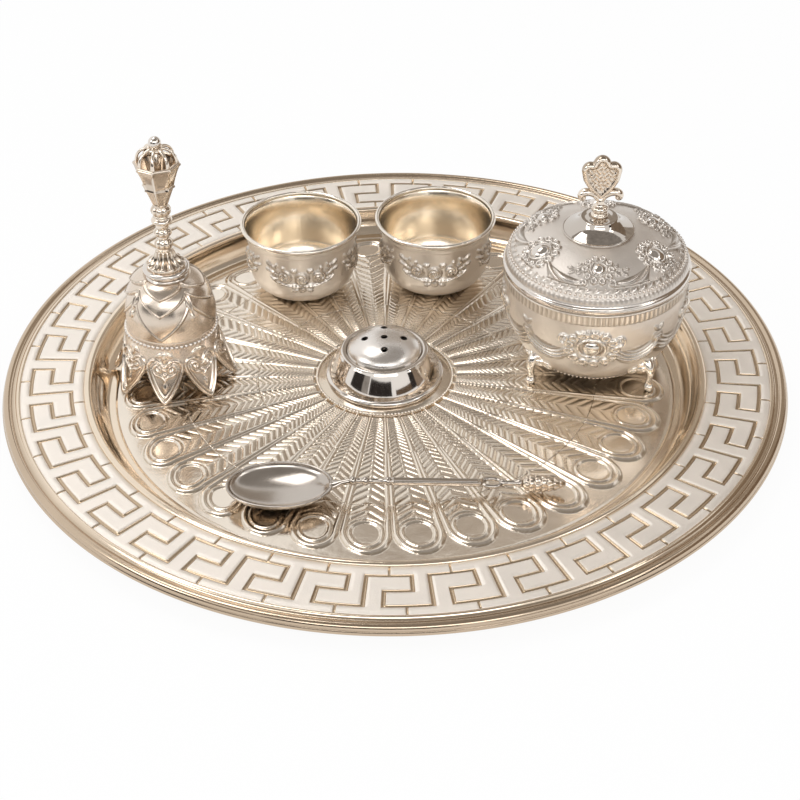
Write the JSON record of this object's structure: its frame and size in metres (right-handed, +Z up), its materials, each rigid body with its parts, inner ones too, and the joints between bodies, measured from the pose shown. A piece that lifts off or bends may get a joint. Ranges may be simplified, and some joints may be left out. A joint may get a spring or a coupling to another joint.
{
  "type": "puja thali set",
  "caption": "Round silver-coloured puja thali with an embossed well and key-pattern rim, carrying a hand bell, bowls, a lidded footed box, an incense holder and a spoon.",
  "frame": {"origin": "centre of the tray's underside, on the surface that it stands on", "axes": "+Z up, +X to the right and -Y to the front, with the spoon in front and the bowls at the back"},
  "size_m": [0.3, 0.3, 0.1043],
  "materials": {
    "silver_engraved": "embossed, warm silver with frosted and polished areas",
    "silver_polished": "mirror polished silver",
    "silver_satin": "satin silver with raised ornament",
    "silver_frosted": "frosted silver with polished ornament",
    "steel_inner": "plain"
  },
  "bodies": {
    "tray": {"thali_tray": "silver_engraved"},
    "incense_holder": {"incense_base": "silver_polished", "incense_dome": "silver_satin"},
    "bell": {"bell_petal_skirt": "silver_satin", "bell_cup": "silver_satin", "bell_bead_ring": "silver_polished", "bell_shoulder_ring": "silver_polished", "bell_handle_collar": "silver_satin", "bell_handle_stem": "silver_satin", "bell_crown_cup": "silver_satin", "bell_crown_cage": "silver_satin", "bell_handle_ball": "silver_polished", "bell_eye_screw": "steel_inner"},
    "clapper": {"clapper_link": "steel_inner", "clapper_ball": "steel_inner"},
    "left_bowl": {"bowl_left": "silver_satin"},
    "right_bowl": {"bowl_right": "silver_satin"},
    "box": {"box_body": "silver_frosted", "box_flute_band": "silver_frosted", "box_foot_1": "silver_frosted", "box_foot_2": "silver_frosted", "box_foot_3": "silver_frosted", "box_foot_4": "silver_frosted"},
    "lid": {"lid_dome": "silver_frosted", "lid_flange": "steel_inner", "lid_collar": "silver_polished", "lid_finial": "silver_frosted", "lid_screw": "steel_inner"},
    "spoon": {"spoon_bowl": "silver_polished", "spoon_handle": "silver_polished", "spoon_bud": "silver_satin"}
  },
  "joints": [
    {"name": "incense_lift", "type": "slide", "parent": "tray", "child": "incense_holder", "axis": [0, 0, 1], "range_m": [0, 0.08]},
    {"name": "bell_lift", "type": "slide", "parent": "tray", "child": "bell", "axis": [0, 0, 1], "range_m": [0, 0.12]},
    {"name": "clapper_swing", "type": "hinge", "parent": "bell", "child": "clapper", "pos_m": [-0.08598, 0.00904, 0.0363], "axis": [0.9962, -0.0872, 0], "range_deg": [-28, 28]},
    {"name": "bowl_left_lift", "type": "slide", "parent": "tray", "child": "left_bowl", "axis": [0, 0, 1], "range_m": [0, 0.08]},
    {"name": "bowl_right_lift", "type": "slide", "parent": "tray", "child": "right_bowl", "axis": [0, 0, 1], "range_m": [0, 0.08]},
    {"name": "box_lift", "type": "slide", "parent": "tray", "child": "box", "axis": [0, 0, 1], "range_m": [0, 0.08]},
    {"name": "lid_lift", "type": "slide", "parent": "box", "child": "lid", "axis": [0, 0, 1], "range_m": [0, 0.06]},
    {"name": "spoon_lift", "type": "slide", "parent": "tray", "child": "spoon", "axis": [0, 0, 1], "range_m": [0, 0.08]}
  ]
}
